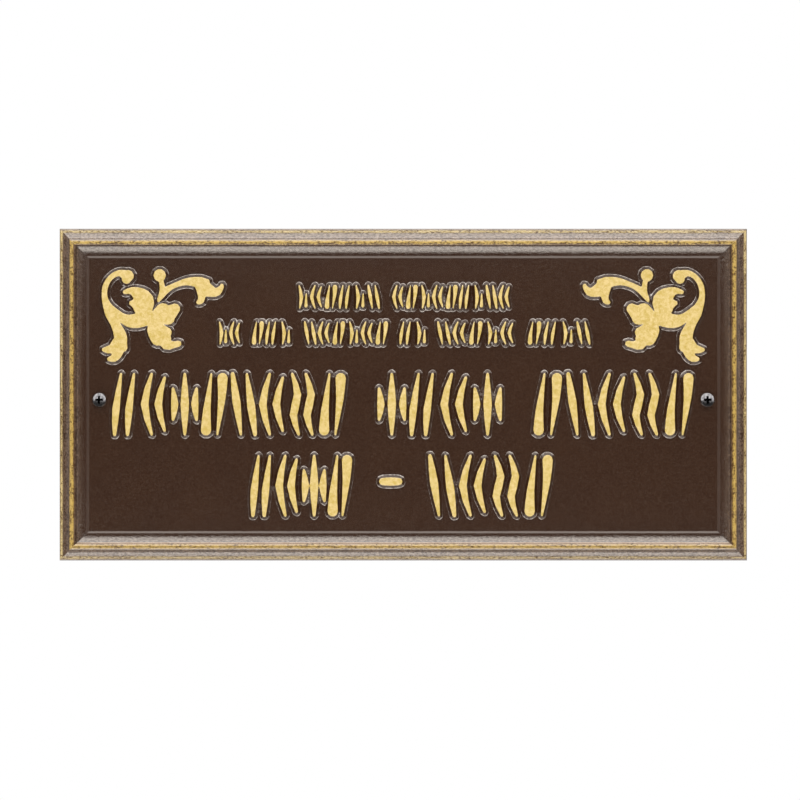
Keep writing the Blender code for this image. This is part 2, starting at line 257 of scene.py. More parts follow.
# Roughness, sheen and bump. A pair is the values at the noise's low and high ends.
PAINT_ROUGHNESS = (0.15, 0.21)
STEP_ROUGHNESS = 0.30
RUBBED_ROUGHNESS = (0.14, 0.24)
TOP_ROUGHNESS = (0.36, 0.48)
STEEL_ROUGHNESS = (0.15, 0.28)
FLOOR_ROUGHNESS = 0.7
FRAME_SHEEN = (0.62, 1.0)
STEP_SHEEN = 0.5
FLANK_SHEEN = (0.35, 1.0)
SHEEN_TINT = (1.0, 0.94, 0.87, 1)
PAINT_IOR = 1.6
FLANK_IOR = 1.9
FIELD_BUMP = 0.42
FRAME_BUMP = 1.0
FLANK_BUMP = 1.0
BUMP_DEPTH = 0.00012
STEEL_BUMP = 0.15
STEEL_BUMP_DEPTH = 0.00005

# Floor and light
FLOOR = -1.3
FLOOR_HALF_WIDTH = 1.4
FLOOR_FRONT = -1.4
FLOOR_BACK = 1.2
FILL_LIGHT = 0.06

# Camera: straight on, 472.7 mm across the picture at the plaque's face
LENS = 100
SENSOR_WIDTH = 36
CAMERA_PLACE = (-0.00195, -1.3178, -0.00317)


def linear(red, green, blue):
    """A colour read as 0 to 255 on screen, as the shader's linear value."""
    shares = [value / 255 for value in (red, green, blue)]
    return tuple(s / 12.92 if s <= 0.04045 else ((s + 0.055) / 1.055) ** 2.4 for s in shares)


# Raised work: outlines from the CAD casting, and the flank that falls away from them


def raised_edges(node):
    """The ends (x, z) of each edge round the flat tops of the CAD casting's raised work."""
    mesh = node.data
    mesh.calc_loop_triangles()
    places = np.array([node.matrix_world @ vert.co for vert in mesh.vertices])
    corners = np.array([triangle.vertices for triangle in mesh.loop_triangles])
    _, first, index = np.unique(
        np.round(places * MICRONS_IN_METRE).astype(int), axis=0, return_index=True, return_inverse=True
    )
    on_top = np.abs(places[:, 1] + FIELD_THICKNESS + RELIEF_HEIGHT) < TOP_TOLERANCE
    tops = index.reshape(-1)[corners[on_top[corners].all(axis=1)]]
    sides = np.sort(np.concatenate([tops[:, [0, 1]], tops[:, [1, 2]], tops[:, [2, 0]]]), axis=1)
    edges, count = np.unique(sides, axis=0, return_counts=True)
    return places[first][edges[count == 1]][:, :, [0, 2]]


def blurred(values):
    """The grid with a Gaussian blur, which rounds the CAD outline's facets."""
    reach = math.ceil(3 * BLUR_CELLS)
    weights = np.exp(-0.5 * (np.arange(-reach, reach + 1) / BLUR_CELLS) ** 2)
    weights /= weights.sum()
    for axis in (0, 1):
        width = [(reach, reach) if a == axis else (0, 0) for a in (0, 1)]
        padded = np.pad(values, width, mode="edge")
        values = np.apply_along_axis(np.convolve, axis, padded, weights, mode="valid")
    return values


def distance_grid(edges, half_x, half_z):
    """(xs, zs, distance): how far inside the raised outlines each grid point is, negative outside."""
    xs = np.arange(-half_x, half_x, CELL)
    zs = np.arange(-half_z, half_z, CELL)
    near = np.full((len(zs), len(xs)), REACH)
    crossed = np.zeros(near.shape, int)
    for (ax, az), (bx, bz) in edges:
        left, right = np.searchsorted(xs, (min(ax, bx) - REACH, max(ax, bx) + REACH))
        low, high = np.searchsorted(zs, (min(az, bz) - REACH, max(az, bz) + REACH))
        across, up = xs[left:right] - ax, (zs[low:high] - az)[:, None]
        dx, dz = bx - ax, bz - az
        share = np.clip((across * dx + up * dz) / (dx * dx + dz * dz), 0, 1)
        window = near[low:high, left:right]
        np.minimum(window, np.hypot(across - share * dx, up - share * dz), out=window)
        rows = np.flatnonzero((zs >= min(az, bz)) & (zs < max(az, bz)))
        if len(rows):
            crossings = ax + (zs[rows] - az) * dx / dz
            np.add.at(crossed, (rows, np.searchsorted(xs, crossings)), 1)
    inside = np.cumsum(crossed, axis=1) % 2 == 1
    return xs, zs, blurred(np.where(inside, near, -near))


def contour_loops(xs, zs, grid, level):
    """Closed loops of points where the grid passes this level, by marching squares."""
    rows, columns = grid.shape
    inside = grid > level
    case = inside[:-1, :-1] + 2 * inside[:-1, 1:] + 4 * inside[1:, 1:] + 8 * inside[1:, :-1]
    numbers = np.arange(rows * columns).reshape(rows, columns)
    shift = rows * columns
    ends = {
        "low": numbers[:-1, :-1],
        "high": numbers[1:, :-1],
        "left": numbers[:-1, :-1] + shift,
        "right": numbers[:-1, 1:] + shift,
    }
    joins = (
        ((1, 14, 5), "left", "low"),
        ((2, 13, 10), "low", "right"),
        ((3, 12), "left", "right"),
        ((4, 11, 5), "right", "high"),
        ((6, 9), "low", "high"),
        ((7, 8, 10), "left", "high"),
    )
    links = {}
    for cases, one, other in joins:
        found = np.isin(case, cases)
        for a, b in zip(ends[one][found].tolist(), ends[other][found].tolist()):
            links.setdefault(a, []).append(b)
            links.setdefault(b, []).append(a)
    loops = []
    while links:
        start = next(iter(links))
        path, here = [start], start
        while links[here]:
            there = links[here].pop()
            links[there].remove(here)
            if not links[here]:
                del links[here]
            here = there
            if here == start:
                break
            path.append(here)
        links.pop(start, None)
        loops.append(crossing_places(np.array(path), xs, zs, grid, level))
    return loops


def crossing_places(path, xs, zs, grid, level):
    """The points where the level passes the grid edges that the path numbers."""
    shift = grid.size
    upright = path >= shift
    row, column = np.divmod(np.where(upright, path - shift, path), grid.shape[1])
    here = grid[row, column]
    there = grid[row + upright, column + ~upright]
    share = (level - here) / (there - here)
    return np.stack([xs[column] + CELL * share * ~upright, zs[row] + CELL * share * upright], axis=1)


def thinned(loop):
    """The loop with only the points that keep its shape."""
    closed = np.vstack([loop, loop[:1]])
    far = int(np.argmax(np.hypot(*(loop - loop[0]).T)))
    kept, spans = {0, far}, [(0, far), (far, len(loop))]
    while spans:
        low, high = spans.pop()
        if high - low < 2:
            continue
        along = closed[high] - closed[low]
        length = math.hypot(*along)
        away = closed[low + 1 : high] - closed[low]
        if length < SAME_PLACE:
            offsets = np.hypot(*away.T)
        else:
            offsets = np.abs(away[:, 0] * along[1] - away[:, 1] * along[0]) / length
        worst = int(np.argmax(offsets))
        if offsets[worst] < CONTOUR_TOLERANCE:
            if length < LONGEST_EDGE:
                continue
            worst = (high - low) // 2 - 1
        middle = low + 1 + worst
        kept.add(middle)
        spans += [(low, middle), (middle, high)]
    return loop[sorted(kept)]


def sampled(grid, xs, zs, places):
    """The grid's values at these places."""
    column = np.clip((places[:, 0] - xs[0]) / CELL, 0, len(xs) - 1.001)
    row = np.clip((places[:, 1] - zs[0]) / CELL, 0, len(zs) - 1.001)
    c, r = column.astype(int), row.astype(int)
    u, v = column - c, row - r
    low = grid[r, c] * (1 - u) + grid[r, c + 1] * u
    high = grid[r + 1, c] * (1 - u) + grid[r + 1, c + 1] * u
    return low * (1 - v) + high * v


def valleys(xs, zs, grid, slope_x, slope_z):
    """Points along the bottom of the narrow gaps between raised outlines, where no contour runs."""
    flat = np.hypot(slope_x, slope_z) < VALLEY_SLOPE
    found = flat & (grid < VALLEY_FROM) & (grid > FLANK[-1][0])
    found[1::VALLEY_STRIDE] = False
    found[:, 1::VALLEY_STRIDE] = False
    rows, columns = np.nonzero(found)
    return np.stack([xs[columns], zs[rows]], axis=1), grid[rows, columns]


class Surface:
    """Faces gathered with a normal for each corner and a height above the field for each point."""

    def __init__(self):
        self.points = []
        self.faces = []
        self.normals = []
        self.rise = []

    def add(self, points, faces, normals, rise):
        """Faces index points and, corner by corner, take the normal of the same number."""
        base = len(self.points)
        self.points += [tuple(point) for point in points]
        self.rise += list(rise)
        for face in faces:
            self.faces.append([base + corner for corner in face])
            self.normals += [tuple(normals[corner]) for corner in face]

    def mesh(self, name):
        mesh = bpy.data.meshes.new(name)
        mesh.from_pydata(self.points, [], self.faces)
        mesh.shade_smooth()
        mesh.normals_split_custom_set(self.normals)
        mesh.attributes.new("rise", "FLOAT", "POINT").data.foreach_set("value", self.rise)
        return mesh


def hole_ring(x, z, radius):
    angles = np.arange(HOLE_SIDES) * 2 * math.pi / HOLE_SIDES
    return np.stack([x + radius * np.cos(angles), z + radius * np.sin(angles)], axis=1)


def filled(rings, loose, holes):
    """(points, triangles, given point numbers) of the area over rings and loose points, less the holes."""
    places = np.concatenate([*rings, loose]) / MM
    edges, base = [], 0
    for ring in rings:
        count = len(ring)
        edges += [(base + i, base + (i + 1) % count) for i in range(count)]
        base += count
    made = delaunay_2d_cdt([Vector(place) for place in places], edges, [], 0, MERGE_MM, True)
    points, _, faces, sources, _, _ = made
    points = np.array(points) * MM
    faces = np.array(faces)
    middles = points[faces].mean(axis=1)
    open_to = np.ones(len(faces), bool)
    for x, z, radius in holes:
        open_to &= np.hypot(middles[:, 0] - x, middles[:, 1] - z) > radius * HOLE_SHARE
    return points, faces[open_to], [source[0] for source in sources]


def add_field(surface, node, width, height, holes):
    """The field with everything raised on it, from contours of the distance to the raised outlines."""
    half_x, half_z = width / 2 - FRAME_WIDTH, height / 2 - FRAME_WIDTH
    xs, zs, grid = distance_grid(raised_edges(node), half_x, half_z)
    slope_z, slope_x = np.gradient(grid, CELL)
    rings, rises, slopes = [], [], []
    for inset, rise, slope in FLANK:
        for loop in contour_loops(xs, zs, grid, inset):
            ring = thinned(loop)
            if len(ring) > 2:
                rings.append(ring)
                rises += [rise] * len(ring)
                slopes += [slope] * len(ring)
    corners = np.array([(-half_x, -half_z), (half_x, -half_z), (half_x, half_z), (-half_x, half_z)])
    for flat in (corners, *(hole_ring(*hole) for hole in holes)):
        rings.append(flat)
        rises += [0] * len(flat)
        slopes += [0] * len(flat)
    low_points, depths = valleys(xs, zs, grid, slope_x, slope_z)
    insets, levels, _ = np.array(FLANK)[::-1].T
    rises += list(np.interp(depths, insets, levels))
    slopes += [0] * len(low_points)
    points, faces, sources = filled(rings, low_points, holes)
    rise = np.array(rises)[sources]
    slope = np.array(slopes)[sources]
    falls = np.stack([sampled(slope_x, xs, zs, points), sampled(slope_z, xs, zs, points)], axis=1)
    normals = np.stack([-slope * falls[:, 0], -np.ones(len(points)), -slope * falls[:, 1]], axis=1)
    normals /= np.linalg.norm(normals, axis=1)[:, None]
    placed = np.stack([points[:, 0], -FIELD_THICKNESS - rise, points[:, 1]], axis=1)
    surface.add(placed, outward(placed, faces, -1), normals, rise)


def outward(points, faces, facing):
    """The triangles, each turned to face this way along Y."""
    a, b, c = (points[faces[:, i]] for i in range(3))
    along_y = np.cross(b - a, c - a)[:, 1]
    turned = along_y * facing < 0
    return np.where(turned[:, None], faces[:, ::-1], faces)


# Frame, sides and back


def bowed(start, end, bow, steps):
    """The points after start, up to end, of a curve that leaves the straight line by bow halfway."""
    start = Vector(start)
    along = Vector(end) - start
    side = Vector((-along.y, along.x)).normalized()
    shares = [step / steps for step in range(1, steps + 1)]
    return [start + along * t + side * (4 * bow * t * (1 - t)) for t in shares]


def arc(centre, radius, first, last, steps, fullness=2):
    """Points on an arc between two angles in degrees, measured from the inward side towards the front.
    A fullness over 2 flattens the crown and fills out the shoulders."""
    points = []
    for step in range(steps + 1):
        angle = math.radians(first + (last - first) * step / steps)
        across, up = math.cos(angle), math.sin(angle)
        across = math.copysign(abs(across) ** (2 / fullness), across)
        points.append(Vector((centre[0] + radius * across, centre[1] + radius * up ** (2 / fullness))))
    return points


def frame_section():
    """(in from the outer edge, above the back), from the back's edge to the field."""
    lip_centre = (SIDE_DRAFT + LIP_EDGE_RADIUS, LIP_HEIGHT - LIP_EDGE_RADIUS)
    cove_top = (COVE_OUTER + OUTER_COVE_WIDTH, LIP_HEIGHT + OUTER_COVE_RISE)
    bead_centre = (BEAD_CENTRE, BEAD_CENTRE_HEIGHT)
    section = [Vector((0, 0)), Vector((0, SIDE_FOOT))]
    section += arc(lip_centre, LIP_EDGE_RADIUS, 180, 90, steps=6)
    section.append(Vector((COVE_OUTER, LIP_HEIGHT)))
    section += bowed(section[-1], cove_top, -OUTER_COVE_BOW, steps=10)
    bead = (180 - BEAD_FOOT_ANGLE, BEAD_FOOT_ANGLE)
    section += arc(bead_centre, BEAD_RADIUS, *bead, steps=28, fullness=BEAD_FULLNESS)
    section.append(Vector((INNER_COVE_OUTER, FLAT_HEIGHT + INNER_COVE_DROP)))
    section += bowed(section[-1], (FLAT_OUTER, FLAT_HEIGHT), -INNER_COVE_BOW, steps=14)
    section.append(Vector((STEP_OUTER, FLAT_HEIGHT)))
    half_down = (STEP_OUTER + STEP_WIDTH / 2, FIELD_THICKNESS + FLAT_RISE / 2)
    section += bowed(section[-1], half_down, STEP_BOW, steps=5)
    section += bowed(section[-1], (FRAME_WIDTH, FIELD_THICKNESS), -STEP_BOW, steps=5)
    return section


def section_normals(section):
    """For each span of the section, (outward, front) at its two ends: shared across a gentle turn."""
    spans = []
    for before, after in zip(section, section[1:]):
        along = (after - before).normalized()
        spans.append(Vector((along.y, along.x)))
    ends = []
    for index, normal in enumerate(spans):
        pair = []
        for neighbour in (index - 1, index + 1):
            joined = normal
            if 0 <= neighbour < len(spans) and normal.dot(spans[neighbour]) > SHARP_TURN:
                joined = (normal + spans[neighbour]).normalized()
            pair.append(joined)
        ends.append(pair)
    return ends


def add_frame(surface, width, height):
    """The moulding along each side, mitred at the corners."""
    section = frame_section()
    turns = ((0, -1), (1, 0), (0, 1), (-1, 0))
    for side, (out_x, out_z) in enumerate(turns):
        for (before, after), normals in zip(zip(section, section[1:]), section_normals(section)):
            points, corner_normals = [], []
            for (inset, rise), (outward_share, front_share) in zip((before, after), normals):
                ends = [(-1, -1), (1, -1), (1, 1), (-1, 1)]
                for end in (ends[side], ends[(side + 1) % 4]):
                    points.append((end[0] * (width / 2 - inset), -rise, end[1] * (height / 2 - inset)))
                    corner_normals.append((out_x * outward_share, -front_share, out_z * outward_share))
            surface.add(points, [(0, 1, 3, 2)], corner_normals, [FRAME_MARK] * 4)


def add_back(surface, width, height, holes):
    """The flat back, and the walls of the screw holes."""
    corners = np.array([(-width, -height), (width, -height), (width, height), (-width, height)]) / 2
    rings = [corners, *(hole_ring(*hole) for hole in holes)]
    points, faces, _ = filled(rings, np.empty((0, 2)), holes)
    placed = np.stack([points[:, 0], np.zeros(len(points)), points[:, 1]], axis=1)
    surface.add(placed, outward(placed, faces, 1), [(0, 1, 0)] * len(placed), [BACK_MARK] * len(placed))
    for x, z, radius in holes:
        ring = hole_ring(x, z, radius)
        inward = [((x - px) / radius, 0, (z - pz) / radius) for px, pz in ring]
        walls = [(px, y, pz) for y in (0, -FIELD_THICKNESS) for px, pz in ring]
        count = len(ring)
        quads = [(i, (i + 1) % count, count + (i + 1) % count, count + i) for i in range(count)]
        surface.add(walls, quads, inward * 2, [BACK_MARK] * len(walls))


def casting(node, screw_places, material):
    low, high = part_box("plaque_casting")
    width, height = high[0] - low[0], high[2] - low[2]
    radius = SHANK_DIAMETER / 2 + HOLE_CLEARANCE
    holes = [(x, z, radius) for x, z in screw_places]
    surface = Surface()
    add_field(surface, node, width, height, holes)
    add_frame(surface, width, height)
    add_back(surface, width, height, holes)
    piece = bpy.data.objects.new("cast_plaque", surface.mesh("cast_plaque"))
    bpy.context.scene.collection.objects.link(piece)
    piece.data.materials.append(material)
    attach(piece, "root")
    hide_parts("plaque_casting")


# Screws


def head_section():
    """(radius, height above the seat) of the pan head, from the crown to the shank."""
    radius = HEAD_DIAMETER / 2
    points = []
    for step in range(CROWN_STEPS + 1):
        reach = radius * CROWN_EDGE * step / CROWN_STEPS
        points.append((reach, CROWN_HEIGHT - reach**2 / (2 * CROWN_CURVE_RADIUS)))
    rim = points[-1][1]
    return points + [(radius * out, rim * up) for out, up in RIM_CURVE]


def lean_drop(place):
    """How much lower than an upright crown the leaned one is here: it faces up and a little to the left."""
    return place.y * math.tan(CROWN_LEAN[0]) + place.x * math.tan(CROWN_LEAN[1])


def leaned(place):
    """The place on the head with the crown leaned and the seat left flat."""
    share = min(1, max(0, place.z / LEAN_HEIGHT))
    return Vector((place.x, place.y, place.z - lean_drop(place) * share))


def recess_painted_shade(place):
    """Painted shade: 0 on the outside of the head, rising to 1 down inside the driver recess."""
    reach = math.hypot(place.x, place.y)
    if reach > RECESS_SPAN / 2 + RECESS_SHADE_MARGIN:
        return 0
    crown = CROWN_HEIGHT - reach**2 / (2 * CROWN_CURVE_RADIUS) - lean_drop(place)
    return min(1, max(0, (crown - place.z - RECESS_SHADE_START) / RECESS_SHADE_DEPTH))


def turned_mesh(rows, sides, radius_at):
    """A closed turned mesh: each row is (radius, height), and radius_at may vary a radius by angle."""
    bm = bmesh.new()
    rings = []
    for radius, height in rows:
        ring = []
        for side in range(sides):
            angle = 2 * math.pi * side / sides
            reach = radius_at(radius, height, angle)
            ring.append(bm.verts.new((reach * math.cos(angle), reach * math.sin(angle), height)))
        rings.append(ring)
    for lower, upper in zip(rings, rings[1:]):
        for side in range(sides):
            after = (side + 1) % sides
            bm.faces.new((lower[side], upper[side], upper[after], lower[after]))
    bm.faces.new(rings[0])
    bm.faces.new(rings[-1][::-1])
    bmesh.ops.recalc_face_normals(bm, faces=bm.faces)
    return bm


def thread_radius(radius, height, angle):
    """The shank's radius with its helical thread, which starts below the head and fades at the point."""
    core, crest = CORE_DIAMETER / 2, SHANK_DIAMETER / 2
    if height > -THREAD_START:
        return radius
    turn = (height / THREAD_PITCH - angle / (2 * math.pi)) % 1
    ridge = max(0, 1 - abs(turn - 0.5) / THREAD_RIDGE)
    body = min(radius, core)
    return body + ridge * (crest - core) * min(1, radius / crest)


def shank_rows(length):
    """Rows from the head's underside to the point, close enough to draw the thread."""
    plain = SHANK_DIAMETER / 2 * PLAIN_SHANK_SHARE
    rows = [(plain, SHANK_IN_HEAD), (plain, -THREAD_START + THREAD_GAP)]
    step = THREAD_PITCH / ROWS_PER_TURN
    depth = THREAD_START
    while depth < length:
        share = min(1, max(TIP_SHARE, (length - depth) / POINT_LENGTH))
        rows.append((SHANK_DIAMETER / 2 * share, -depth))
        depth += step
    return rows


def recess_cutter(collection):
    """A tapered cross for cutting the driver recess: the outline of one arm, turned four times."""
    bm = bmesh.new()
    rings = []
    for height, share in ((-RECESS_DEPTH, RECESS_TAPER), (RECESS_CUTTER_ABOVE, 1)):
        span, slot = RECESS_SPAN / 2 * share, RECESS_SLOT / 2 * (1 + share) / 2
        ring = []
        for arm in range(4):
            turn = Matrix.Rotation(arm * math.pi / 2, 3, "Z")
            for corner in ((slot, -slot), (span, -slot), (span, slot)):
                ring.append(bm.verts.new(turn @ Vector((*corner, height))))
        rings.append(ring)
    low, high = rings
    for index in range(len(low)):
        after = (index + 1) % len(low)
        bm.faces.new((low[index], low[after], high[after], high[index]))
    bm.faces.new(low[::-1])
    bm.faces.new(high)
    mesh = bpy.data.meshes.new("recess_cutter")
    bm.to_mesh(mesh)
    bm.free()
    cutter = bpy.data.objects.new("recess_cutter", mesh)
    collection.objects.link(cutter)
    return cutter


def screw(name, node_name, material):
    """A pan-head screw made in its own frame, +Z out of the wall, and set where the CAD node is."""
    low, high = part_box(node_name)
    x, z = (low[0] + high[0]) / 2, (low[2] + high[2]) / 2
    seat_y = -(FIELD_THICKNESS + SEAT_GAP)
    length = high[1] - seat_y
    rows = [(max(radius, CENTRE_RADIUS), height) for radius, height in head_section()]
    head = turned_mesh(rows, HEAD_SIDES, lambda radius, height, angle: radius)
    for vert in head.verts:
        vert.co = leaned(vert.co)
    shank = turned_mesh(shank_rows(length), SHANK_SIDES, thread_radius)
    meshes = []
    for part in (head, shank):
        mesh = bpy.data.meshes.new(name)
        part.to_mesh(mesh)
        part.free()
        meshes.append(mesh)
    scene = bpy.context.scene.collection
    piece = bpy.data.objects.new(name, meshes[0])
    scene.objects.link(piece)
    cutter = recess_cutter(scene)
    cutter.location.z = CROWN_HEIGHT
    cut = piece.modifiers.new("recess", "BOOLEAN")
    cut.operation = "DIFFERENCE"
    cut.object = cutter
    bpy.context.view_layer.update()
    graph = bpy.context.evaluated_depsgraph_get()
    bm = bmesh.new()
    bm.from_mesh(bpy.data.meshes.new_from_object(piece.evaluated_get(graph)))
    bmesh.ops.remove_doubles(bm, verts=bm.verts, dist=WELD)
    bmesh.ops.dissolve_degenerate(bm, edges=bm.edges, dist=WELD)
    painted_shades = [recess_painted_shade(vert.co) for vert in bm.verts]
    bm.from_mesh(meshes[1])
    painted_shades += [0] * (len(bm.verts) - len(painted_shades))
    bpy.data.objects.remove(cutter, do_unlink=True)
    piece.modifiers.clear()
    bm.transform(Matrix.Translation((x, seat_y, z)) @ Matrix.Rotation(math.radians(90), 4, "X"))
    bm.to_mesh(piece.data)
    bm.free()
    # The recess attribute holds the painted shade inside the driver recess
    piece.data.attributes.new("recess", "FLOAT", "POINT").data.foreach_set("value", painted_shades)
    piece.data.materials.clear()
    piece.data.materials.append(material)
    piece.data.shade_smooth()
    piece.data.set_sharp_from_angle(angle=SHARP_EDGE_ANGLE)
    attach(piece, "root")
    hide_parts(node_name)


# Materials


class Shader:
    """Short calls for building one material's nodes."""

    def __init__(self, name):
        self.material = bpy.data.materials.new(name)
        self.material.use_nodes = True
        self.tree = self.material.node_tree
        self.surface = self.tree.nodes["Principled BSDF"]

    def node(self, kind, inputs=(), **settings):
        made = self.tree.nodes.new(kind)
        for key, value in settings.items():
            setattr(made, key, value)
        for key, value in dict(inputs).items():
            self.put(made.inputs[key], value)
        return made

    def put(self, socket, value):
        if isinstance(value, bpy.types.NodeSocket):
            self.tree.links.new(value, socket)
        else:
            socket.default_value = value

    def math(self, operation, *values):
        return self.node("ShaderNodeMath", enumerate(values), operation=operation).outputs[0]

    def between(self, value, low, high):
        """0 below low and 1 above high, with a smooth step between."""
        made = self.node(
            "ShaderNodeMapRange",
            {"Value": value, "From Min": low, "From Max": high},
            interpolation_type="SMOOTHSTEP",
        )
        return made.outputs["Result"]

    def times(self, one, other):
        return self.math("MULTIPLY", one, other)

    def rest(self, share):
        """What a share leaves of 1."""
        return self.math("SUBTRACT", 1, share)

    def mix(self, share, one, other):
        """Two colours mixed; a tuple is a colour as read on screen."""
        made = self.node("ShaderNodeMix", data_type="RGBA")
        self.put(made.inputs["Factor"], share)
        for key, value in (("A", one), ("B", other)):
            socket = next(s for s in made.inputs if s.name == key and s.type == "RGBA")
            self.put(socket, (*linear(*value), 1) if isinstance(value, tuple) else value)
        return next(s for s in made.outputs if s.type == "RGBA")

    def within(self, value, start, end):
        """1 between two places, falling off beyond each over its own range."""
        return self.times(self.between(value, *start), self.between(value, *end))

    def mix_value(self, share, one, other):
        made = self.node("ShaderNodeMix", {"Factor": share, "A": one, "B": other}, data_type="FLOAT")
        return made.outputs["Result"]

    def noise(self, vector, scale, detail, roughness):
        made = self.node(
            "ShaderNodeTexNoise",
            {"Vector": vector, "Scale": scale, "Detail": detail, "Roughness": roughness},
        )
        return made.outputs["Fac"]


class CastingShader(Shader):
    """The casting's paint, with the places and noises that its colour, sheen and relief share."""

    def __init__(self, width, height):
        super().__init__("casting_paint")
        self.place = self.node("ShaderNodeTexCoord").outputs["Object"]
        parts = self.node("ShaderNodeSeparateXYZ", {"Vector": self.place}).outputs
        x, z = parts["X"], parts["Z"]
        from_side = self.math("SUBTRACT", width / 2, self.math("ABSOLUTE", x))
        from_end = self.math("SUBTRACT", height / 2, self.math("ABSOLUTE", z))
        self.inset = self.math("MINIMUM", from_side, from_end)
        self.rise = self.node("ShaderNodeAttribute", attribute_name="rise").outputs["Fac"]
        self.in_frame = self.math("COMPARE", self.rise, FRAME_MARK, MARK_TOLERANCE)
        self.on_left = self.math("LESS_THAN", x, 0)
        self.on_end = self.math("LESS_THAN", from_side, from_end)
        self.at_foot = self.times(self.math("LESS_THAN", z, 0), self.rest(self.on_end))
        self.add_noises(self.mix_value(self.on_end, x, z))
        self.on_step = self.times(self.in_frame, self.between(self.inset, *STEP_START))
        self.on_flank = self.within(self.rise, FLANK_GLINT_START, FLANK_GLINT_END)
        # The bead's inner flank on every side but the foot, which gets painted shade
        self.shaded_flank = self.times(self.within(self.inset, INNER_FLANK_SHADE_START, INNER_FLANK_SHADE_END), self.rest(self.at_foot))

    def add_noises(self, along):
        """Streaks that follow the moulding, and noises that are the same in every direction."""
        streak_place = self.node(
            "ShaderNodeCombineXYZ",
            {
                "X": self.times(along, self.mix_value(self.on_end, *STREAK_FINENESS)),
                "Y": self.inset,
                "Z": self.times(self.on_end, END_STREAKS_APART),
            },
        ).outputs[0]
        self.streaks = self.noise(streak_place, scale=1150, detail=3, roughness=0.65)
        long_streaks = self.noise(streak_place, scale=240, detail=3, roughness=0.55)
        self.speckle = self.noise(self.place, scale=1500, detail=4, roughness=0.6)
        self.grain = self.noise(self.place, scale=520, detail=3, roughness=0.5)
        self.clouds = self.noise(self.place, scale=45, detail=3, roughness=0.55)
        self.uneven = self.mix_value(LONG_STREAK_SHARE, self.streaks, long_streaks)

    def brown(self):
        patches = self.mix_value(BROWN_SPECKLE, self.clouds, self.speckle)
        return self.mix(self.between(patches, *BROWN_SPREAD), BROWN_DARK, BROWN_PALE)

    def top_gold(self):
        """(share, colour) of the solid gold on the raised tops."""
        wobble = self.times(self.math("SUBTRACT", self.grain, 0.5), TOP_GOLD_WOBBLE)
        share = self.between(self.math("ADD", self.rise, wobble), *TOP_GOLD_START)
        patches = self.mix_value(TOP_SPECKLE, self.grain, self.speckle)
        return share, self.mix(self.between(patches, *TOP_SPREAD), GOLD_DEEP, GOLD_PALE)

    def rubbed_gold(self):
        """(share, colour) of the gold rubbed over the bead and the lip, ragged where it runs out; painted
        shade darkens it on the foot and on the bead's inner flank elsewhere.
        """
        rubbing = self.mix_value(GILDING_CLOUDS, self.uneven, self.clouds)
        ragged = self.times(self.math("SUBTRACT", rubbing, 0.5), GILDING_RAGGED)
        on_short_sides = self.mix_value(self.on_left, GILDING_AT_RIGHT, GILDING_AT_LEFT)
        bead_at = self.mix_value(self.on_end, GILDING_AT_LONG_SIDES, on_short_sides)
        lip_at = self.mix_value(self.on_end, LIP_GILDING_AT_LONG_SIDES, LIP_GILDING_AT_SHORT_SIDES)
        shares = []
        for middle, run_out in ((bead_at, GILDING_RUN_OUT), (lip_at, LIP_GILDING_RUN_OUT)):
            away = self.math("ABSOLUTE", self.math("SUBTRACT", self.inset, middle))
            shares.append(self.rest(self.between(self.math("ADD", away, ragged), *run_out)))
        share = self.times(self.math("MAXIMUM", *shares), self.in_frame)
        colour = self.mix(self.math("LESS_THAN", self.inset, LIP_GOLD_TO), BEAD_GOLD, LIP_GOLD)
        # Painted shade: the gilding on the bottom member is darkened
        colour = self.mix(self.times(self.at_foot, PAINTED_SHADE_ON_FOOT), colour, GOLD_IN_PAINTED_SHADE)
        # Painted shade: the gold on the inner flank thins towards its dark tone
        patchy = self.math("SUBTRACT", self.uneven, self.times(self.shaded_flank, INNER_FLANK_PAINTED_SHADE))
        return share, self.mix(self.between(patchy, *GILDING_SPREAD), THIN_GOLD, colour)

    def dry_gold(self):
        """The share of dry gold on the rest of the frame: a haze, and beside the bead at the foot
        pale dry gold as a painted highlight.
        """
        patches = self.between(self.uneven, *HAZE_SPREAD)
        haze = self.times(patches, self.between(self.inset, *HAZE_RUN_OUT))
        in_quirk = self.within(self.inset, QUIRK_START, QUIRK_END)
        # Painted highlight: pale dry gold in the quirk of the bottom member only
        painted_highlight = self.times(self.times(self.at_foot, in_quirk), QUIRK_PAINTED_HIGHLIGHT)
        return self.times(self.in_frame, self.math("MAXIMUM", self.times(haze, HAZE_DUST), painted_highlight))

    def set_roughness(self, frame_share, top_share):
        paint = self.mix_value(self.between(self.speckle, *NOISE_SPREAD), *PAINT_ROUGHNESS)
        paint = self.mix_value(self.on_step, paint, STEP_ROUGHNESS)
        rubbed = self.mix_value(self.between(self.streaks, *NOISE_SPREAD), *RUBBED_ROUGHNESS)
        paint = self.mix_value(frame_share, paint, rubbed)
        top = self.mix_value(self.between(self.speckle, *NOISE_SPREAD), *TOP_ROUGHNESS)
        self.put(self.surface.inputs["Roughness"], self.mix_value(top_share, paint, top))

    def set_sheen(self):
        """Streaked on the frame, duller on the bead's inner flank and on the step, and glinting on the
        flanks.
        """
        frame = self.mix_value(self.between(self.streaks, *NOISE_SPREAD), *FRAME_SHEEN)
        frame = self.times(frame, self.rest(self.times(self.shaded_flank, INNER_FLANK_SHEEN_LOSS)))
        frame = self.mix_value(self.on_step, frame, STEP_SHEEN)
        glints = self.mix_value(self.between(self.grain, *GLINT_SPREAD), *FLANK_SHEEN)
        field = self.mix_value(self.on_flank, 1.0, glints)
        sheen = self.mix_value(self.in_frame, field, frame)
        self.put(self.surface.inputs["Specular IOR Level"], sheen)
        self.put(self.surface.inputs["IOR"], self.mix_value(self.on_flank, PAINT_IOR, FLANK_IOR))
        self.put(self.surface.inputs["Specular Tint"], SHEEN_TINT)

